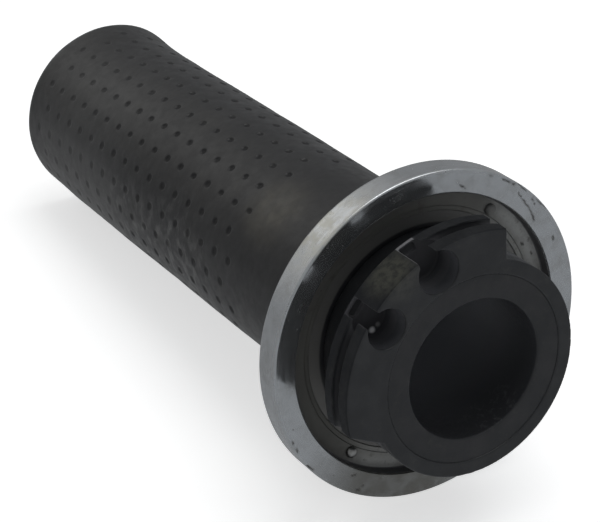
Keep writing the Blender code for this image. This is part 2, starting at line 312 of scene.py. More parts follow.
class Look:
    """A Principled material and short ways to add nodes to it. Coordinates are in millimetres."""

    def __init__(self, name):
        self.material = bpy.data.materials.new(name)
        self.material.use_nodes = True
        self.nodes = self.material.node_tree.nodes
        self.links = self.material.node_tree.links
        self.shader = self.nodes["Principled BSDF"]
        place_node = self.nodes.new("ShaderNodeTexCoord")
        self.point = self.vector("SCALE", place_node.outputs["Object"], 1 / MM)
        parts = self.nodes.new("ShaderNodeSeparateXYZ")
        self.links.new(self.point, parts.inputs[0])
        self.x, self.y, self.z = parts.outputs[0], parts.outputs[1], parts.outputs[2]
        self.depth = self.maths("SUBTRACT", FRONT_X, self.x)
        across = self.times(self.y, self.y)
        up = self.times(self.z, self.z)
        self.radius = self.maths("SQRT", self.plus(across, up))
        self.turn = self.maths("ARCTAN2", self.y, self.z)

    def feed(self, socket, value):
        """Links a socket to another, or sets it to a plain value."""
        if isinstance(value, bpy.types.NodeSocket):
            self.links.new(value, socket)
        elif isinstance(value, (tuple, list)) and len(value) == 3 and socket.type == "RGBA":
            socket.default_value = (*value, 1.0)
        else:
            socket.default_value = value

    def maths(self, operation, first, second=0.0):
        node = self.nodes.new("ShaderNodeMath")
        node.operation = operation
        self.feed(node.inputs[0], first)
        self.feed(node.inputs[1], second)
        return node.outputs[0]

    def times(self, first, second):
        return self.maths("MULTIPLY", first, second)

    def plus(self, first, second):
        return self.maths("ADD", first, second)

    def larger(self, first, second):
        return self.maths("MAXIMUM", first, second)

    def vector(self, operation, first, second):
        node = self.nodes.new("ShaderNodeVectorMath")
        node.operation = operation
        self.feed(node.inputs[0], first)
        self.feed(node.inputs["Scale" if operation == "SCALE" else 1], second)
        return node.outputs["Value" if operation == "DISTANCE" else "Vector"]

    def combine(self, x, y, z):
        node = self.nodes.new("ShaderNodeCombineXYZ")
        for socket, value in zip(node.inputs, (x, y, z)):
            self.feed(socket, value)
        return node.outputs[0]

    def noise(self, scale, detail=3.0, roughness=0.5, vector=None, distortion=0.0):
        node = self.nodes.new("ShaderNodeTexNoise")
        self.links.new(vector or self.point, node.inputs["Vector"])
        node.inputs["Scale"].default_value = scale
        node.inputs["Detail"].default_value = detail
        node.inputs["Roughness"].default_value = roughness
        node.inputs["Distortion"].default_value = distortion
        return node.outputs["Fac"]

    def specks(self, scale):
        """The distance to the nearest of scattered points, in cells."""
        node = self.nodes.new("ShaderNodeTexVoronoi")
        self.links.new(self.point, node.inputs["Vector"])
        node.inputs["Scale"].default_value = scale
        return node.outputs["Distance"]

    def remap(self, value, low, high, to_low=0.0, to_high=1.0):
        node = self.nodes.new("ShaderNodeMapRange")
        node.interpolation_type = "SMOOTHSTEP"
        for name, number in (("From Min", low), ("From Max", high), ("To Min", to_low), ("To Max", to_high)):
            node.inputs[name].default_value = number
        self.feed(node.inputs["Value"], value)
        return node.outputs["Result"]

    def mix(self, share, first, second):
        """A colour between two."""
        node = self.nodes.new("ShaderNodeMix")
        node.data_type = "RGBA"
        self.feed(node.inputs["Factor"], share)
        self.feed(node.inputs[6], first)
        self.feed(node.inputs[7], second)
        return node.outputs[2]

    def spot(self, depth, radius, angle, size):
        """1 at a place on the object, fading to 0 at size from it."""
        away = self.vector("DISTANCE", self.point, tuple(place(depth, radius, angle)))
        return self.remap(away, size, size * 0.25)

    def column(self, radius, angle, size):
        """1 near a line parallel to the bore, and 0 beyond size from it."""
        flat = self.combine(FRONT_X, self.y, self.z)
        away = self.vector("DISTANCE", flat, tuple(place(0, radius, angle)))
        return self.remap(away, size + 0.05, size - 0.15)

    def attribute(self, name):
        node = self.nodes.new("ShaderNodeAttribute")
        node.attribute_name = name
        return node.outputs["Fac"]

    def bump(self, height, strength, distance, under=None):
        """distance is in millimetres."""
        node = self.nodes.new("ShaderNodeBump")
        node.inputs["Strength"].default_value = strength
        node.inputs["Distance"].default_value = distance * MM
        self.feed(node.inputs["Height"], height)
        if under is not None:
            self.links.new(under, node.inputs["Normal"])
        return node.outputs["Normal"]

    def finish(self, colour, roughness, normal=None, metallic=None, **plain):
        self.feed(self.shader.inputs["Base Color"], colour)
        self.feed(self.shader.inputs["Roughness"], roughness)
        if metallic is not None:
            self.feed(self.shader.inputs["Metallic"], metallic)
        if normal is not None:
            self.links.new(normal, self.shader.inputs["Normal"])
        for name, value in plain.items():
            self.feed(self.shader.inputs[name.replace("_", " ")], value)
        return self.material


# ---------------- materials


def rubber_look():
    """Old black rubber: mottled, rubbed grey on one side, brown near the flange, with painted shade in its
    dimples and along one strip, and painted sheen and highlight near its ends.
    """
    look = Look("rubber_worn")
    mottle = look.remap(look.noise(0.09, 4.0), 0.35, 0.68)
    base = look.mix(mottle, (0.0088, 0.0087, 0.0099), (0.0137, 0.0134, 0.0142))
    bloom = look.remap(look.noise(0.16, 5.0, 0.6), 0.5, 0.75, 0.0, 0.4)
    base = look.mix(bloom, base, (0.020, 0.0188, 0.0165))
    # Rubbed streaks, long round the grip and short along it
    stretched_depth = look.times(look.depth, 0.6)
    round_way = look.combine(stretched_depth, look.times(look.turn, 6.5), 0.0)
    streaks = look.remap(look.noise(1.0, 4.0, 0.55, round_way), 0.44, 0.66)
    rubbed_side = look.larger(look.spot(82, GRIP_RADIUS_FAR, -124, 20),
                             look.spot(64, GRIP_RADIUS_FAR, -118, 20))
    rubbed = look.times(streaks, rubbed_side)
    base = look.mix(look.times(rubbed, 0.7), base, (0.085, 0.085, 0.083))
    # Brown grime where the grip meets the flange, lightened into a painted warm highlight where the key light
    # reflects
    grime = look.remap(look.noise(0.4, 3.0), 0.3, 0.7, 0.45, 1.0)
    grime = look.times(grime, look.spot(40.5, GRIP_RADIUS_NEAR, -41, 8.5))
    base = look.mix(look.times(grime, 0.6), base, (0.085, 0.077, 0.058))
    dust = look.remap(look.specks(0.35), 0.05, 0.02)
    dust = look.times(dust, look.remap(look.noise(0.12), 0.5, 0.6))
    base = look.mix(look.times(dust, 0.3), base, (0.08, 0.075, 0.065))
    # Painted shade: the dimples are darkened the deeper they sink
    sunk = look.attribute("sunk")
    base = look.mix(look.times(sunk, 0.4), base, (0.005, 0.005, 0.0055))
    # Painted sheen: the far end's lower side and its rounded edge are painted pale, standing in for the
    # floor's reflection and a rim light
    painted_sheen = look.times(look.spot(104, GRIP_RADIUS_FAR, -102, 28), 0.48)
    base = look.mix(painted_sheen, base, (0.060, 0.060, 0.060))
    end_start = TOTAL_LENGTH - GRIP_END_ROUND
    # Painted rim highlight along the far end's rounded edge
    edge = look.remap(look.depth, end_start - 0.6, end_start + 0.2)
    cap_radius = GRIP_RADIUS_FAR - GRIP_END_ROUND
    edge = look.times(edge, look.remap(look.radius, cap_radius - 0.3, cap_radius + 0.5))
    base = look.mix(look.times(edge, 0.6), base, (0.058, 0.068, 0.068))
    # A strip along the sleeve, painted darker as painted shade, and duller
    off_strip = look.maths("ABSOLUTE", look.plus(look.turn, -math.radians(SHADE_STRIP_ANGLE)))
    painted_shade_strip = look.remap(off_strip, math.radians(20), math.radians(6))
    painted_shade_strip = look.times(painted_shade_strip, look.remap(look.radius, cap_radius, cap_radius + 0.8))
    base = look.mix(look.times(painted_shade_strip, 0.35), base, (0.006, 0.006, 0.0065))
    rough = look.remap(look.noise(0.6, 5.0, 0.6), 0.3, 0.7, 0.34, 0.46)
    rough = look.plus(rough, look.times(sunk, 0.2))
    grain = look.noise(3.2, 4.0, 0.7)
    swell = look.noise(0.22, 2.0)
    normal = look.bump(grain, 0.30, 0.05)
    normal = look.bump(swell, 0.35, 0.4, normal)
    normal = look.bump(rubbed, 0.35, 0.10, normal)
    shine = look.remap(sunk, 0.0, 1.0, 0.62, 0.42)
    shine = look.times(shine, look.remap(painted_shade_strip, 0.0, 1.0, 1.0, 0.82))
    return look.finish(base, rough, normal, Specular_IOR_Level=shine, Sheen_Weight=0.05, Sheen_Roughness=0.4)


def moulded_plastic(look, dark, light, rough_low, rough_high):
    """Moulded black plastic as (colour, roughness, normal), with flow marks, dusty smears and scratches."""
    flow = look.remap(look.noise(0.25, 5.0, 0.6), 0.35, 0.7)
    base = look.mix(flow, dark, light)
    smear = look.remap(look.noise(0.7, 5.0, 0.7, distortion=0.8), 0.56, 0.78)
    base = look.mix(look.times(smear, 0.35), base, (0.060, 0.058, 0.050))
    dust = look.remap(look.specks(1.1), 0.10, 0.04)
    dust = look.times(dust, look.remap(look.noise(0.4), 0.52, 0.62))
    base = look.mix(look.times(dust, 0.30), base, (0.14, 0.135, 0.12))
    rough = look.remap(look.noise(1.3, 5.0, 0.6), 0.3, 0.72, rough_low, rough_high)
    rough = look.plus(rough, look.times(smear, 0.10))
    thin = look.combine(look.times(look.x, 6.0), look.times(look.y, 0.9), look.z)
    scratches = look.remap(look.noise(1.4, 3.0, 0.8, thin, 0.4), 0.60, 0.66)
    normal = look.bump(look.noise(2.4, 3.0, 0.6), 0.25, 0.04)
    normal = look.bump(scratches, 0.25, 0.03, normal)
    return base, rough, normal


def drum_look():
    """The drum's plastic, dull with dried grease in its pockets and slots, with painted light in its pockets,
    slots and groove, and painted highlights on the block between the slots, on the upper slot's bridge and in
    the lower pocket.
    """
    look = Look("drum_plastic")
    base, rough, normal = moulded_plastic(look, (0.014, 0.015, 0.017), (0.021, 0.022, 0.024), 0.30, 0.42)
    # Painted highlight: the block between the slots is painted lighter, mottled, where the key light reflects
    painted_block_highlight = look.spot(SECTOR_THICKNESS / 2, SECTOR_RADIUS, -37, 5.5)
    painted_block_highlight = look.times(painted_block_highlight, look.remap(look.noise(1.0, 4.0, 0.65), 0.3, 0.65, 0.3, 1.0))
    base = look.mix(look.times(painted_block_highlight, 0.7), base, (0.078, 0.078, 0.062))
    # The pockets and slots are dull with dried grease, and painted lighter than the plastic as painted light
    # inside them, the pockets' walls more than their bottoms
    pocket = 0.0
    slot = 0.0
    for angle, radius in zip(POCKET_ANGLES, POCKET_RADII):
        near = look.column(POCKET_RING_RADIUS, angle, radius + 0.1)
        pocket = look.larger(pocket, near)
    for angle in SLOT_ANGLES:
        slot = look.larger(slot, look.column(SECTOR_RADIUS - 1.2, angle, 1.9))
    inside = look.times(look.remap(look.depth, 0.15, 0.5),
                        look.remap(look.depth, SECTOR_THICKNESS + 0.1, SECTOR_THICKNESS - 0.1))
    slot = look.times(slot, inside)
    pocket = look.times(pocket, inside)
    bottom = look.remap(look.depth, POCKET_DEPTH - 0.6, POCKET_DEPTH - 0.3)
    base = look.mix(pocket, base, look.mix(bottom, (0.068, 0.070, 0.077), (0.052, 0.052, 0.056)))
    base = look.mix(slot, base, (0.046, 0.046, 0.050))
    # Painted highlight: a thin bright line along the rim of the bridge across the upper slot
    bridge = look.times(look.column(SECTOR_RADIUS, SLOT_ANGLES[1], 1.55), inside)
    at_rim = look.remap(look.radius, SECTOR_RADIUS - 0.16, SECTOR_RADIUS - 0.08)
    bridge = look.times(bridge, at_rim)
    base = look.mix(look.times(bridge, 0.7), base, (0.26, 0.26, 0.27))
    # Two painted glints: pale spots on the bottom of the lower pocket
    for radius, angle, size, tone in POCKET_GLINTS:
        glint = look.spot(POCKET_DEPTH, radius, angle, size)
        base = look.mix(glint, base, (tone, tone, tone))
    # Painted light: the cable groove is painted lighter than the plastic round it
    groove_back = CABLE_GROOVE_DEPTH + CABLE_GROOVE_WIDTH
    groove = look.remap(look.depth, CABLE_GROOVE_DEPTH - 0.1, CABLE_GROOVE_DEPTH + 0.2)
    groove = look.times(groove, look.remap(look.depth, groove_back + 0.1, groove_back - 0.1))
    groove = look.times(groove, look.remap(look.radius, SECTOR_RADIUS - 0.3, SECTOR_RADIUS - 0.8))
    base = look.mix(groove, base, (0.075, 0.076, 0.082))
    dull = look.larger(pocket, slot)
    # The sector's rim, which the chrome flange mirrors, is dull too
    rim = look.remap(look.radius, SECTOR_RADIUS - 0.20, SECTOR_RADIUS - 0.08)
    dull = look.larger(dull, rim)
    rough = look.plus(rough, look.times(dull, 0.2))
    shine = look.remap(dull, 0.0, 1.0, 0.5, 0.12)
    return look.finish(base, rough, normal, Specular_IOR_Level=shine)


def tube_look():
    """The tube's plastic, with its bore painted lighter the deeper it goes as painted light, lint near its
    mouth, and painted light on its spigot.
    """
    look = Look("tube_plastic")
    base, rough, normal = moulded_plastic(look, (0.013, 0.014, 0.016), (0.020, 0.020, 0.022), 0.34, 0.46)
    inside = look.remap(look.radius, BORE_RADIUS + 0.15, BORE_RADIUS + 0.05)
    # Painted light: the bore is painted lighter the deeper it goes, standing in for light reaching inside
    bore_light_and_lint = look.mix(look.remap(look.depth, 2, 32), (0.030, 0.031, 0.034), (0.40, 0.41, 0.44))
    lint = look.remap(look.noise(0.9, 5.0, 0.75, distortion=0.5), 0.50, 0.64)
    near_mouth = look.times(lint, look.spot(3, BORE_RADIUS, 152, 8))
    bore_light_and_lint = look.mix(look.times(near_mouth, 0.6), bore_light_and_lint, (0.085, 0.086, 0.090))
    base = look.mix(inside, base, bore_light_and_lint)
    # Painted light: the spigot is painted lighter where it shows round the drum, in deep shade, lightest on
    # the recess's upper right side
    spigot = look.remap(look.radius, COLLAR_RADIUS, COLLAR_RADIUS + 0.4)
    lighter_side = look.spot(SPIGOT_DEPTH, SPIGOT_RADIUS, 56, 13)
    spigot_painted_light = look.mix(lighter_side, (0.10, 0.099, 0.095), (0.15, 0.15, 0.146))
    base = look.mix(look.times(spigot, 0.9), base, spigot_painted_light)
    shine = look.remap(inside, 0.0, 1.0, 0.5, 0.15)
    return look.finish(base, rough, normal, Specular_IOR_Level=shine)


def chrome_look():
    """Chrome plate with haze, round polishing marks, pits that show dirt, grime that fills the recess, and
    painted highlight, reflection and shade on its skirt, rim and recess.
    """
    look = Look("chrome_worn")
    polar = look.combine(
        look.times(look.radius, 1.7),
        look.times(look.turn, 5.0),
        look.times(look.depth, 1.7),
    )
    brushed = look.noise(1.0, 2.0, 0.6, polar)
    haze = look.remap(look.noise(0.33, 5.0, 0.65, distortion=0.5), 0.40, 0.72)
    base = look.mix(haze, (0.64, 0.66, 0.68), (0.54, 0.55, 0.555))
    # A creamy worn patch on the skirt, also painted as a warm highlight where the key light reflects, and a
    # brown film along the bottom of the rim, also painted as a darker reflection of the surface below
    mottle = look.remap(look.noise(0.55, 4.0), 0.30, 0.62)
    worn = look.times(look.spot(FACE_DEPTH + 2, FLANGE_RADIUS, -38, 10), mottle)
    worn = look.times(worn, look.remap(look.radius, FLANGE_RADIUS - 0.7, FLANGE_RADIUS - 0.4))
    base = look.mix(look.times(worn, 0.6), base, (0.74, 0.72, 0.63))
    film_and_dark_reflection = look.spot(FACE_DEPTH + 1, FLANGE_RADIUS - 2, -168, 20)
    film_and_dark_reflection = look.times(film_and_dark_reflection, look.remap(mottle, 0.0, 1.0, 0.85, 1.0))
    base = look.mix(film_and_dark_reflection, base, (0.22, 0.215, 0.20))
    # Old dirt dulls the recess. Its floor is painted brighter on the upper right and at the bottom, cleaner
    # and as a painted reflection, and darker on the lower left as painted shade
    sunk = look.times(
        look.remap(look.radius, RECESS_RADIUS + 0.30, RECESS_RADIUS + 0.12),
        look.remap(look.depth, FACE_DEPTH + 0.1, FACE_DEPTH + 0.4),
    )
    patchy = look.noise(0.45, 5.0, 0.65)
    cleaner_and_painted_reflection = look.larger(look.spot(RECESS_FLOOR_DEPTH, 22, 56, 12),
                         look.times(look.spot(RECESS_FLOOR_DEPTH, 22, -162, 9), 0.6))
    cleaner_and_painted_reflection = look.times(cleaner_and_painted_reflection, look.remap(patchy, 0.3, 0.6, 0.6, 1.0))
    outwards = look.remap(look.radius, STEP_RADIUS, STEP_RADIUS + 1.6, 0.45, 1.0)
    cleaner_and_painted_reflection = look.times(cleaner_and_painted_reflection, outwards)
    dull = look.mix(cleaner_and_painted_reflection, (0.140, 0.139, 0.130), (0.42, 0.425, 0.42))
    dull = look.mix(look.remap(patchy, 0.52, 0.68, 0.0, 0.6), dull, (0.10, 0.097, 0.087))
    # Painted shade on the lower left of the recess floor
    shaded = look.spot(RECESS_FLOOR_DEPTH, 21.5, -118, 15)
    dull = look.mix(look.times(shaded, 0.7), dull, (0.055, 0.054, 0.049))
    # Painted shade: the corner between the recess's floor and its wall is painted dark, dull and unmetallic
    painted_corner_shade = look.times(sunk, look.remap(look.radius, RECESS_RADIUS - 0.30, RECESS_RADIUS - 0.15))
    dull = look.mix(painted_corner_shade, dull, (0.085, 0.085, 0.090))
    base = look.mix(sunk, base, dull)
    pits = look.remap(look.specks(0.95), 0.12, 0.05)
    pits = look.times(pits, look.remap(look.noise(0.23, 3.0), 0.50, 0.62))
    fine_pits = look.remap(look.specks(1.7), 0.13, 0.05)
    fine_pits = look.times(fine_pits, look.remap(look.noise(0.35, 3.0), 0.52, 0.66, 0.0, 0.5))
    dirt = look.larger(look.larger(pits, fine_pits), look.attribute("grime"))
    base = look.mix(dirt, base, (0.035, 0.033, 0.030))
    rough = look.remap(brushed, 0.3, 0.7, 0.10, 0.20)
    rough = look.plus(rough, look.times(haze, 0.10))
    rough = look.plus(rough, look.times(look.larger(dirt, worn), 0.25))
    rough = look.plus(rough, look.times(sunk, 0.30))
    outer_edge = look.remap(look.radius, FLANGE_RADIUS - 0.7, FLANGE_RADIUS - 0.4)
    front = look.remap(look.depth, FACE_DEPTH + 0.7, FACE_DEPTH + 0.4)
    outer_edge = look.times(outer_edge, front)
    rough = look.plus(rough, look.times(outer_edge, 0.14))
    metal = look.remap(dirt, 0.2, 0.9, 0.94, 0.15)
    metal = look.times(metal, look.remap(sunk, 0.0, 1.0, 1.0, 0.5))
    metal = look.times(metal, look.remap(painted_corner_shade, 0.0, 1.0, 1.0, 0.0))
    shine = look.remap(painted_corner_shade, 0.0, 1.0, 0.5, 0.3)
    normal = look.bump(brushed, 0.02, 0.03)
    normal = look.bump(look.noise(0.45, 1.0), 0.12, 0.12, normal)
    normal = look.bump(look.maths("SUBTRACT", 1.0, dirt), 0.5, 0.06, normal)
    return look.finish(base, rough, normal, metal, Specular_IOR_Level=shine)


def steel_look():
    """Rivet steel, with painted shade round its foot, and one rivet dulled by grime."""
    look = Look("rivet_steel")
    tarnish = look.remap(look.noise(1.6, 5.0, 0.6), 0.35, 0.7)
    base = look.mix(tarnish, (0.50, 0.50, 0.49), (0.36, 0.35, 0.33))
    rough = look.remap(look.noise(2.5, 4.0), 0.3, 0.7, 0.28, 0.45)
    # Painted shade: the head is darkened at its foot, where it meets the flange
    painted_foot_shade = look.remap(look.depth, RIVET_SEAT_DEPTH - 0.12, RIVET_SEAT_DEPTH)
    base = look.mix(painted_foot_shade, base, (0.12, 0.12, 0.11))
    dirty = look.spot(RIVET_SEAT_DEPTH, RIVET_RING_RADIUS, RIVET_ANGLES[1], 8)
    base = look.mix(dirty, base, (0.16, 0.16, 0.155))
    rough = look.plus(rough, look.times(dirty, 0.25))
    metal = look.remap(dirty, 0.0, 1.0, 1.0, 0.05)
    normal = look.bump(look.noise(5.0, 3.0), 0.3, 0.03)
    return look.finish(base, rough, normal, metal)


# ---------------- rubber grip


def sleeve_radius(depth):
    """The sleeve's outer radius, which tapers a little towards its outer end."""
    neck = RUBBER_FLANGE_BACK_DEPTH + NECK_FILLET
    if depth < GRIP_MIDDLE_DEPTH:
        share = (depth - neck) / (GRIP_MIDDLE_DEPTH - neck)
        return GRIP_RADIUS_NEAR + (GRIP_RADIUS_MIDDLE - GRIP_RADIUS_NEAR) * share
    share = smooth(depth, GRIP_MIDDLE_DEPTH - 12, GRIP_FAR_DEPTH)
    start = smooth(GRIP_MIDDLE_DEPTH, GRIP_MIDDLE_DEPTH - 12, GRIP_FAR_DEPTH)
    share = (share - start) / (1 - start)
    return GRIP_RADIUS_MIDDLE + (GRIP_RADIUS_FAR - GRIP_RADIUS_MIDDLE) * share


def rubber_point(depth, radius, angle):
    """A point of the rubber, with the dimples' twist, some unevenness and a bent outer end."""
    outside = smooth(radius, RUBBER_INNER_RADIUS, RUBBER_INNER_RADIUS + 1.5)
    outside = max(outside, smooth(depth, END_WALL_DEPTH, TOTAL_LENGTH - 1))
    turn = angle + DIMPLE_TWIST * (depth - DIMPLE_FIRST_DEPTH) * outside
    base = place(depth, radius, turn)
    uneven = sum(noise.noise(base * scale) * height for scale, height in RUBBER_WAVES)
    beside = max(0.0, math.cos(math.radians(turn - END_DENT_ANGLE)))
    uneven -= END_DENT * smooth(depth, END_DENT_START, END_DENT_START + END_DENT_LENGTH) * beside ** 4
    base = place(depth, radius + uneven * outside * min(1.0, radius / 8), turn)
    bend = END_BEND * smooth(depth, END_BEND_START, TOTAL_LENGTH) * outside
    facing = max(0.0, math.cos(math.radians(turn - END_BEND_ANGLE)))
    bend += END_LIP * smooth(depth, END_LIP_START, TOTAL_LENGTH - 1) * outside * facing ** END_LIP_POWER
    return base + place(FRONT_X, bend, END_BEND_ANGLE)


class Skin:
    """The rubber's surface, gathered as points and faces."""

    def __init__(self):
        self.points = []
        self.sunk = []
        self.faces = []

    def point(self, depth, radius, angle, sunk=0.0):
        self.points.append(rubber_point(depth, radius, angle))
        self.sunk.append(sunk)
        return len(self.points) - 1

    def ring(self, depth, radius, steps):
        first = DIMPLE_ROW_ANGLE - 180 / DIMPLE_ROWS
        return [self.point(depth, radius, first + 360 * step / steps) for step in range(steps)]

    def join(self, inner, outer):
        """Faces between two loops of the same count."""
        for step in range(len(inner)):
            after = (step + 1) % len(inner)
            self.faces.append((inner[step], inner[after], outer[after], outer[step]))

    def fan(self, centre, loop):
        for step in range(len(loop)):
            self.faces.append((centre, loop[step], loop[(step + 1) % len(loop)]))


def add_dimple(skin, border, places, depth, angle, chance):
    """A sunk oval inside one cell. border holds the cell's edge points, and places their (along, across).

    Dimples are shallower and wider on the worn side, and fade towards the outer end.
    """
    wear = 1 - 0.35 * smooth(math.cos(math.radians(angle - DIMPLE_WORN_ANGLE)), 0.75, 1.0)
    long_side = DIMPLE_HALF_LENGTH * chance.uniform(0.90, 1.10)
    wide_side = DIMPLE_HALF_WIDTH * chance.uniform(0.90, 1.12) * (2 - wear)
    sink = DIMPLE_DEPTH * chance.uniform(0.85, 1.10) * wear
    clear = 1 - 0.45 * smooth(depth, DIMPLE_FADE_START, TOTAL_LENGTH)
    sink *= clear
    shift_along = chance.uniform(-0.07, 0.07)
    shift_across = chance.uniform(-0.07, 0.07)
    half_along = max(along for along, across in places)
    half_across = max(across for along, across in places)
    radius = sleeve_radius(depth)
    outer = border
    for reach_share, sink_share in DIMPLE_LOOPS:
        loop = []
        for along, across in places:
            way = math.atan2(across / half_across, along / half_along)
            here = depth + shift_along + long_side * reach_share * math.cos(way)
            side = shift_across + wide_side * reach_share * math.sin(way)
            turn = angle + math.degrees(side / radius)
            loop.append(skin.point(here, radius - sink * sink_share, turn, sink_share * clear))
        skin.join(outer, loop)
        outer = loop
    turn = angle + math.degrees(shift_across / radius)
    middle = skin.point(depth + shift_along, radius - sink, turn, clear)
    skin.fan(middle, outer)


def add_lattice(skin, first_ring):
    """The dimpled stretch of the sleeve: a grid of cells, in which every other one holds a dimple."""
    chance = random.Random(7)
    steps = DIMPLE_ROWS * CELL_STEPS
    cell = DIMPLE_SPACING / 2
    start = DIMPLE_FIRST_DEPTH - cell / 2
    cell_angle = 360 / DIMPLE_ROWS
    first_angle = DIMPLE_ROW_ANGLE - cell_angle / 2
    grid = [first_ring]
    for column in range(1, DIMPLE_COLUMNS * CELL_STEPS + 1):
        depth = start + cell * column / CELL_STEPS
        inside_column = column % CELL_STEPS != 0
        line = []
        for row in range(steps):
            inside = inside_column and row % CELL_STEPS != 0
            dimpled = (column // CELL_STEPS + row // CELL_STEPS) % 2 == 1
            if inside and dimpled:
                line.append(None)
            else:
                line.append(skin.point(depth, sleeve_radius(depth), first_angle + 360 * row / steps))
        grid.append(line)
    for column in range(DIMPLE_COLUMNS):
        for row in range(DIMPLE_ROWS):
            left = column * CELL_STEPS
            low = row * CELL_STEPS
            if (column + row) % 2 == 0:
                for a in range(left, left + CELL_STEPS):
                    for b in range(low, low + CELL_STEPS):
                        after = (b + 1) % steps
                        skin.faces.append((grid[a][b], grid[a + 1][b], grid[a + 1][after], grid[a][after]))
                continue
            edge = [(left + n, low) for n in range(CELL_STEPS)]
            edge += [(left + CELL_STEPS, low + n) for n in range(CELL_STEPS)]
            edge += [(left + CELL_STEPS - n, low + CELL_STEPS) for n in range(CELL_STEPS)]
            edge += [(left, low + CELL_STEPS - n) for n in range(CELL_STEPS)]
            depth = start + cell * (column + 0.5)
            angle = first_angle + cell_angle * (row + 0.5)
            border = [grid[a][b % steps] for a, b in edge]
            across_step = math.radians(360 / steps) * sleeve_radius(depth)
            places = []
            for a, b in edge:
                along = (a - left - CELL_STEPS / 2) * cell / CELL_STEPS
                places.append((along, (b - low - CELL_STEPS / 2) * across_step))
            add_dimple(skin, border, places, depth, angle, chance)
    return grid[-1]


def rubber_grip(material):
    steps = DIMPLE_ROWS * CELL_STEPS
    cell = DIMPLE_SPACING / 2
    lattice_start = DIMPLE_FIRST_DEPTH - cell / 2
    lattice_end = lattice_start + cell * DIMPLE_COLUMNS
    edge = RUBBER_FLANGE_EDGE
    near = split((END_WALL_DEPTH, 3), (END_WALL_DEPTH, RUBBER_INNER_RADIUS), 3)
    near += split((END_WALL_DEPTH, RUBBER_INNER_RADIUS), (RUBBER_FRONT_DEPTH, RUBBER_INNER_RADIUS), 6)
    near += split((RUBBER_FRONT_DEPTH, RUBBER_INNER_RADIUS),
                  (RUBBER_FRONT_DEPTH, RUBBER_FLANGE_RADIUS - 0.3), 2)
    near += arc(RUBBER_FRONT_DEPTH + 0.3, RUBBER_FLANGE_RADIUS - 0.3, 0.3, 90, 0, 3)
    near += arc(RUBBER_FLANGE_BACK_DEPTH - edge, RUBBER_FLANGE_RADIUS - edge, edge, 0, -90, 8)
    near += split((RUBBER_FLANGE_BACK_DEPTH, RUBBER_FLANGE_RADIUS - edge - 0.4),
                  (RUBBER_FLANGE_BACK_DEPTH, GRIP_RADIUS_NEAR + NECK_FILLET), 0.8)
    neck = RUBBER_FLANGE_BACK_DEPTH + NECK_FILLET
    near += arc(neck, GRIP_RADIUS_NEAR + NECK_FILLET, NECK_FILLET, 90, 180, 14)
    near += split((neck + 0.8, sleeve_radius(neck + 0.8)), (lattice_start, sleeve_radius(lattice_start)), 0.8)
    end_start = TOTAL_LENGTH - GRIP_END_ROUND
    far = split((lattice_end, sleeve_radius(lattice_end)), (end_start, GRIP_RADIUS_FAR), 0.4)[1:]
    far += arc(end_start, GRIP_RADIUS_FAR - GRIP_END_ROUND, GRIP_END_ROUND, 0, -90, 16)
    far += split((TOTAL_LENGTH, GRIP_RADIUS_FAR - GRIP_END_ROUND - 1), (TOTAL_LENGTH, 1), 1.5)
    skin = Skin()
    centre = skin.point(END_WALL_DEPTH, 0, 0)
    loop = skin.ring(*near[0], steps)
    skin.fan(centre, loop)
    for depth, radius in near[1:] + [(lattice_start, sleeve_radius(lattice_start))]:
        after = skin.ring(depth, radius, steps)
        skin.join(loop, after)
        loop = after
    loop = add_lattice(skin, loop)
    for depth, radius in far:
        after = skin.ring(depth, radius, steps)
        skin.join(loop, after)
        loop = after
    skin.fan(skin.point(TOTAL_LENGTH, 0, 0), loop)
    mesh = bpy.data.meshes.new("rubber_grip_skin")
    mesh.from_pydata(skin.points, [], skin.faces)
    mesh.attributes.new("sunk", "FLOAT", "POINT").data.foreach_set("value", skin.sunk)
    bm = bmesh.new()
    bm.from_mesh(mesh)
    bpy.data.meshes.remove(mesh)
    return finish_piece("rubber_grip_skin", bm, material, ["rubber_grip"])


# ---------------- chrome flange

# Knocks and scrapes in the chrome, each from one (radius, angle) to another, with its width and its depth
SCRAPES = (
    ((26.45, 23.0), (26.50, 28.0), 0.12, 0.08),
    ((26.45, 29.0), (26.45, 34.5), 0.20, 0.20),
    ((26.75, 36.0), (26.80, 52.0), 0.10, 0.08),
    ((25.60, 38.0), (24.75, 47.5), 0.20, 0.08),
    ((24.75, 47.5), (24.25, 51.5), 0.30, 0.12),
    ((26.20, 44.5), (25.90, 47.0), 0.22, 0.10),
    ((24.20, 12.0), (23.85, 14.5), 0.20, 0.06),
    ((25.35, 63.0), (25.25, 64.5), 0.30, 0.08),
    ((26.70, -128.0), (26.50, -131.0), 0.28, 0.22),
    ((26.20, -152.0), (26.05, -153.2), 0.28, 0.10),
    ((25.30, -153.6), (25.20, -154.2), 0.26, 0.08),
    ((24.30, -147.0), (23.90, -148.6), 0.22, 0.08),
    ((26.40, -116.0), (26.45, -117.0), 0.22, 0.08),
    ((26.45, -119.6), (26.50, -120.8), 0.26, 0.10),
    ((20.95, 59.5), (21.30, 61.5), 0.24, 0.05),
    ((21.90, 66.8), (22.00, 68.0), 0.28, 0.06),
)


def flat_place(radius, angle):
    """A place seen along the bore, as (y, z)."""
    return Vector((radius * math.sin(math.radians(angle)), radius * math.cos(math.radians(angle))))


def scrape_at(point):
    """How deep the nearest scrape is at a place on the chrome's front, and how dirty, from 0 to 1."""
    flat = Vector((point.y, point.z))
    ragged = 0.85 + 0.6 * noise.noise(point * 1.7)
    sink = 0.0
    dirty = 0.0
    for start, end, width, deep in SCRAPES:
        first = flat_place(*start)
        run = flat_place(*end) - first
        share = min(1.0, max(0.0, (flat - first).dot(run) / run.length_squared))
        away = (flat - first - run * share).length / (width * ragged)
        strength = math.exp(-away * away)
        sink = max(sink, deep * strength)
        dirty = max(dirty, smooth(strength, 0.40, 0.95))
    return sink, dirty


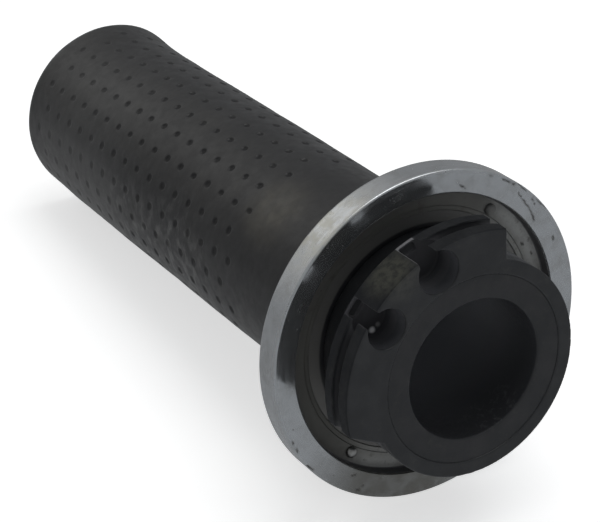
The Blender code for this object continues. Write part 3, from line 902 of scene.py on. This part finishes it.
def cup_profile():
    hem_depth = SKIRT_BACK_DEPTH - HEM_RADIUS
    hem_centre = FLANGE_RADIUS - HEM_RADIUS
    floor_back = RECESS_FLOOR_DEPTH + SHEET
    corner = FLANGE_CORNER
    lip = RECESS_LIP
    fillet = RECESS_FILLET
    drop = STEP_DROP
    outside = arc(hem_depth, hem_centre, HEM_RADIUS, -180, 0, 16)
    outside += arc(FACE_DEPTH + corner, FLANGE_RADIUS - corner, corner, 0, 90, 8)
    outside += arc(FACE_DEPTH + lip, RECESS_RADIUS + lip, lip, 90, 180, 6)
    outside += arc(RECESS_FLOOR_DEPTH - fillet, RECESS_RADIUS - fillet, fillet, 0, -90, 8)
    outside += arc(RECESS_FLOOR_DEPTH + drop / 2, STEP_RADIUS, drop / 2, 90, 180, 3)
    outside += arc(RECESS_FLOOR_DEPTH + drop / 2, STEP_RADIUS - drop, drop / 2, 0, -90, 3)
    outside += arc(RECESS_FLOOR_DEPTH + drop + 0.05, FLANGE_HOLE_RADIUS + 0.05, 0.05, 90, 180, 3)
    inside = [
        (floor_back, FLANGE_HOLE_RADIUS),
        (floor_back, RECESS_RADIUS + SHEET),
        (FACE_DEPTH + SHEET, RECESS_RADIUS + SHEET),
        (FACE_DEPTH + SHEET, FLANGE_RADIUS - SHEET),
        (HEM_FRONT_DEPTH, FLANGE_RADIUS - SHEET),
        (HEM_FRONT_DEPTH, FLANGE_RADIUS - 2 * HEM_RADIUS),
    ]
    return fine(outside, CUP_STEP_LENGTH)[:-1] + inside


def chrome_flange(material):
    """The cup, slightly out of true, with its scrapes pressed in."""
    bm = turned(cup_profile(), CUP_STEPS)
    grime = bm.verts.layers.float.new("grime")
    for vert in bm.verts:
        radius = math.hypot(vert.co.y, vert.co.z)
        angle = math.degrees(math.atan2(vert.co.y, vert.co.z))
        depth = FRONT_X - vert.co.x
        wave = 0.0
        for scale, height, layer in CUP_WAVES:
            wave += height * noise.noise(Vector((vert.co.y, vert.co.z, layer)) * scale)
        showing = depth < RECESS_FLOOR_DEPTH + 0.5 * STEP_DROP
        sink, dirty = scrape_at(vert.co) if showing else (0.0, 0.0)
        vert.co.x += wave * smooth(radius, STEP_RADIUS, FLANGE_RADIUS) - sink
        knocked = OUT_OF_ROUND * math.cos(math.radians(angle - OUT_OF_ROUND_ANGLE))
        stretch = 1 + knocked * smooth(radius, RECESS_RADIUS + 1, FLANGE_RADIUS) / radius
        vert.co.y *= stretch
        vert.co.z *= stretch
        vert[grime] = dirty
    piece = finish_piece("chrome_flange_cup", bm, material, ["chrome_flange"])
    even_normals(piece)
    return piece


# ---------------- drum, tube


def spread(radius, start, end, step):
    """Points round an arc of one radius, about one step apart."""
    count = max(1, round(abs(end - start) / step))
    return [(radius, start + (end - start) * turn / count) for turn in range(count + 1)]


def prism(outline, front, back):
    """A bmesh with one outline of (radius, angle) points from a front depth to a back depth."""
    bm = bmesh.new()
    near = [bm.verts.new(place(front, radius, angle)) for radius, angle in outline]
    far = [bm.verts.new(place(back, radius, angle)) for radius, angle in outline]
    bm.faces.new(near)
    bm.faces.new(far)
    for point in range(len(outline)):
        after = (point + 1) % len(outline)
        bm.faces.new((near[point], near[after], far[after], far[point]))
    return bm


def bar(angle, inner, outer, width, front, back):
    half = width / 2
    corners = []
    for along, side in ((inner, -half), (inner, half), (outer, half), (outer, -half)):
        corners.append((math.hypot(along, side), angle + math.degrees(math.atan2(side, along))))
    return prism(corners, front, back)


def loose(bm):
    """A bmesh as an object of its own, for cutting with."""
    bmesh.ops.recalc_face_normals(bm, faces=bm.faces)
    mesh = bpy.data.meshes.new("blank")
    bm.to_mesh(mesh)
    bm.free()
    made = bpy.data.objects.new("blank", mesh)
    bpy.context.scene.collection.objects.link(made)
    return made


def drum_blank():
    profile = [
        (0, DRUM_INNER_RADIUS),
        (0, SECTOR_RADIUS - RIM_CHAMFER),
        (RIM_CHAMFER, SECTOR_RADIUS),
        (SECTOR_THICKNESS - RIM_CHAMFER, SECTOR_RADIUS),
        (SECTOR_THICKNESS, SECTOR_RADIUS - RIM_CHAMFER),
        (SECTOR_THICKNESS, COLLAR_BACK_RADIUS),
        (DRUM_BACK_DEPTH, COLLAR_BACK_RADIUS),
        (DRUM_BACK_DEPTH, DRUM_INNER_RADIUS),
    ]
    return loose(turned(profile, DRUM_STEPS))


def drum_cutters():
    """What is cut from the full reel: all but the sector, both grooves, and each pocket with its slot."""
    past = SECTOR_RADIUS + 3
    beyond = SECTOR_THICKNESS + 1
    outline = spread(COLLAR_RADIUS, SECTOR_END_FOOT_ANGLE, SECTOR_START_FOOT_ANGLE + 360, 2)
    outline.append((SECTOR_RADIUS, SECTOR_START_ANGLE + 360))
    outline += spread(past, SECTOR_START_ANGLE + 359, SECTOR_END_ANGLE + 1, 6)
    outline.append((SECTOR_RADIUS, SECTOR_END_ANGLE))
    cutters = [prism(outline, -1, beyond)]
    for angle, radius in zip(POCKET_ANGLES, POCKET_RADII):
        hole = [(-1, 0), (-1, radius), (POCKET_DEPTH, radius), (POCKET_DEPTH, 0)]
        cutters.append(turned(hole, POCKET_STEPS, centre=(POCKET_RING_RADIUS, angle)))
    for angle in SLOT_ANGLES:
        cutters.append(bar(angle, POCKET_RING_RADIUS, past, SLOT_WIDTH, -1, POCKET_DEPTH))
        window = (WINDOW_INNER_RADIUS, WINDOW_OUTER_RADIUS, WINDOW_WIDTH)
        cutters.append(bar(angle, *window, POCKET_DEPTH - 1, beyond))
    groove_back = CABLE_GROOVE_DEPTH + CABLE_GROOVE_WIDTH
    groove = [
        (CABLE_GROOVE_DEPTH, CABLE_FLOOR_RADIUS),
        (CABLE_GROOVE_DEPTH, past),
        (groove_back, past),
        (groove_back, CABLE_FLOOR_RADIUS),
    ]
    cutters.append(turned(groove, 40, start=SECTOR_START_FOOT_ANGLE - 5, end=SLOT_ANGLES[0]))
    cutters.append(turned(groove, 30, start=SLOT_ANGLES[1], end=SECTOR_END_FOOT_ANGLE + 5))
    return cutters


def cable_drum(material):
    """The drum, cut like the real mould's shape and then softened, so that its edges are slightly round."""
    blank = drum_blank()
    tools = [loose(cutter) for cutter in drum_cutters()]
    for tool in tools:
        step = blank.modifiers.new("cut", "BOOLEAN")
        step.operation = "DIFFERENCE"
        step.solver = "EXACT"
        step.object = tool
    remesh = blank.modifiers.new("even", "REMESH")
    remesh.mode = "VOXEL"
    remesh.voxel_size = DRUM_VOXEL
    soften = blank.modifiers.new("soften", "SMOOTH")
    soften.factor = 0.5
    soften.iterations = 3
    bpy.context.view_layer.update()
    seen = blank.evaluated_get(bpy.context.evaluated_depsgraph_get())
    mesh = bpy.data.meshes.new_from_object(seen)
    mesh.name = "cable_drum_moulding"
    for used in [blank, *tools]:
        bpy.data.objects.remove(used, do_unlink=True)
    return finish_mesh("cable_drum_moulding", mesh, material, ["cable_drum"])


def throttle_tube(material):
    """The tube, with a rounded mouth, a rounded hub edge, and a bore that isn't quite smooth."""
    edge = HUB_EDGE
    mouth = MOUTH_ROUND
    profile = arc(HUB_FACE_DEPTH + mouth, BORE_RADIUS + mouth, mouth, 180, 90, 6)
    profile += arc(HUB_FACE_DEPTH + edge, HUB_RADIUS - edge, edge, 90, 0, 4)
    profile += [(SPIGOT_DEPTH, HUB_RADIUS)]
    profile += arc(SPIGOT_DEPTH + edge, SPIGOT_RADIUS - edge, edge, 90, 0, 3)
    profile += [
        (TUBE_FLANGE_DEPTH, SPIGOT_RADIUS),
        (TUBE_FLANGE_DEPTH, TUBE_FLANGE_RADIUS),
        (TUBE_FLANGE_BACK_DEPTH, TUBE_FLANGE_RADIUS),
        (TUBE_FLANGE_BACK_DEPTH, SLEEVE_RADIUS),
        (TUBE_END_DEPTH, SLEEVE_RADIUS),
        (TUBE_END_DEPTH, BORE_RADIUS),
    ]
    bm = turned(fine(profile, 1.5), TUBE_STEPS)
    for vert in bm.verts:
        radius = math.hypot(vert.co.y, vert.co.z)
        if radius < BORE_RADIUS + 0.05:
            shrink = 1 + 0.03 * noise.noise(vert.co * 0.15) / BORE_RADIUS
            vert.co.y *= shrink
            vert.co.z *= shrink
    piece = finish_piece("throttle_tube_moulding", bm, material, ["throttle_tube"])
    even_normals(piece)
    return piece


def rivet(number, angle, material):
    """A rivet with a domed head that a hammer has flattened a little."""
    height = RIVET_SEAT_DEPTH - RIVET_HEAD_DEPTH
    dome = []
    for step in range(RIVET_DOME_STEPS + 1):
        turn = math.radians(90 * step / RIVET_DOME_STEPS)
        rise = height * math.cos(turn) ** 0.8
        dome.append((RIVET_SEAT_DEPTH - rise, RIVET_HEAD_RADIUS * math.sin(turn)))
    body = [
        (RIVET_SEAT_DEPTH, RIVET_SHANK_RADIUS),
        (RIVET_TAIL_SEAT_DEPTH, RIVET_SHANK_RADIUS),
        (RIVET_TAIL_SEAT_DEPTH, RIVET_HEAD_RADIUS),
        (RIVET_TAIL_DEPTH, RIVET_HEAD_RADIUS),
        (RIVET_TAIL_DEPTH, 0),
    ]
    bm = turned(dome + body, RIVET_STEPS, centre=(RIVET_RING_RADIUS, angle))
    return finish_piece(f"rivet_{number}", bm, material, [f"flange_rivet_{number}"])


# ---------------- stage


def floor_look():
    """Pale matt paper."""
    look = Look("floor_paper")
    tone = look.remap(look.noise(0.02, 2.0), 0.3, 0.7)
    base = look.mix(tone, (0.90, 0.90, 0.90), (0.93, 0.93, 0.925))
    rough = look.remap(look.noise(0.5, 2.0), 0.3, 0.7, 0.85, 0.95)
    look.feed(look.shader.inputs["Emission Color"], (1.0, 1.0, 1.0))
    return look.finish(base, rough, Specular_IOR_Level=0.1, Emission_Strength=0.6)


def floor():
    """A pale floor that touches the flange's hem and the rubber's outer end, as the grip lies on a table."""
    lowest = FLANGE_RADIUS + OUT_OF_ROUND * math.cos(math.radians(180 - OUT_OF_ROUND_ANGLE))
    hem = Vector((FRONT_X - SKIRT_BACK_DEPTH + HEM_RADIUS, 0, HEM_RADIUS - lowest))
    end = Vector((FRONT_X - TOTAL_LENGTH + GRIP_END_ROUND, 0, GRIP_END_ROUND - GRIP_RADIUS_FAR))
    between = hem - end
    slope = math.atan2(-between.z, between.x) - math.asin((GRIP_END_ROUND - HEM_RADIUS) / between.length)
    up = Vector((math.sin(slope), 0, math.cos(slope)))
    mesh = bpy.data.meshes.new("floor")
    bm = bmesh.new()
    bmesh.ops.create_circle(bm, cap_ends=True, segments=96, radius=FLOOR_RADIUS)
    bm.to_mesh(mesh)
    bm.free()
    mesh.materials.append(floor_look())
    made = bpy.data.objects.new("floor", mesh)
    made.location = (hem - up * HEM_RADIUS) * MM
    made.rotation_euler = (0, slope, 0)
    made.visible_glossy = False
    bpy.context.scene.collection.objects.link(made)


def area_light(name, position, side, power):
    """A square lamp that faces the object's origin. position and side are in metres."""
    data = bpy.data.lights.new(name, "AREA")
    data.shape = "SQUARE"
    data.size = side
    data.energy = power
    made = bpy.data.objects.new(name, data)
    made.location = position
    made.rotation_euler = (-Vector(position)).to_track_quat("-Z", "Y").to_euler()
    bpy.context.scene.collection.objects.link(made)


def world():
    """A soft grey room that is brightest in one direction."""
    made = bpy.data.worlds.new("studio")
    bpy.context.scene.world = made
    made.use_nodes = True
    nodes = made.node_tree.nodes
    links = made.node_tree.links
    background = nodes["Background"]
    way = nodes.new("ShaderNodeTexCoord")
    facing = nodes.new("ShaderNodeVectorMath")
    facing.operation = "DOT_PRODUCT"
    facing.inputs[1].default_value = Vector(BRIGHT_SIDE).normalized()
    links.new(way.outputs["Generated"], facing.inputs[0])
    ramp = nodes.new("ShaderNodeValToRGB")
    ramp.color_ramp.interpolation = "EASE"
    ramp.color_ramp.elements[0].position = 0.0
    ramp.color_ramp.elements[0].color = (0.285, 0.295, 0.305, 1)
    ramp.color_ramp.elements[1].position = 1.0
    ramp.color_ramp.elements[1].color = (0.46, 0.46, 0.45, 1)
    side = ramp.color_ramp.elements.new(0.88)
    side.color = (0.245, 0.250, 0.255, 1)
    half = nodes.new("ShaderNodeMath")
    half.operation = "MULTIPLY_ADD"
    half.inputs[1].default_value = 0.5
    half.inputs[2].default_value = 0.5
    links.new(facing.outputs["Value"], half.inputs[0])
    links.new(half.outputs[0], ramp.inputs[0])
    links.new(ramp.outputs[0], background.inputs[0])
    background.inputs[1].default_value = 1.0


def camera():
    data = bpy.data.cameras.new("camera")
    data.lens = CAMERA_LENS
    data.sensor_width = CAMERA_SENSOR
    data.clip_start = 0.01
    data.clip_end = 20
    made = bpy.data.objects.new("camera", data)
    made.location = Vector(CAMERA_PLACE) * MM
    made.rotation_euler = (math.radians(90 + CAMERA_PITCH), 0, math.radians(CAMERA_HEADING))
    bpy.context.scene.collection.objects.link(made)
    bpy.context.scene.camera = made


def lights():
    area_light("key", (-0.98, -0.31, 0.72), 0.5, 0.22)
    area_light("top", (0.1, 0.2, 1.1), 0.9, 4.5)


def build():
    rubber_grip(rubber_look())
    chrome_flange(chrome_look())
    cable_drum(drum_look())
    throttle_tube(tube_look())
    steel = steel_look()
    for number, angle in enumerate(RIVET_ANGLES, start=1):
        rivet(number, angle, steel)
    floor()
    world()
    lights()
    camera()
    bpy.context.scene.view_settings.view_transform = "Standard"


build()
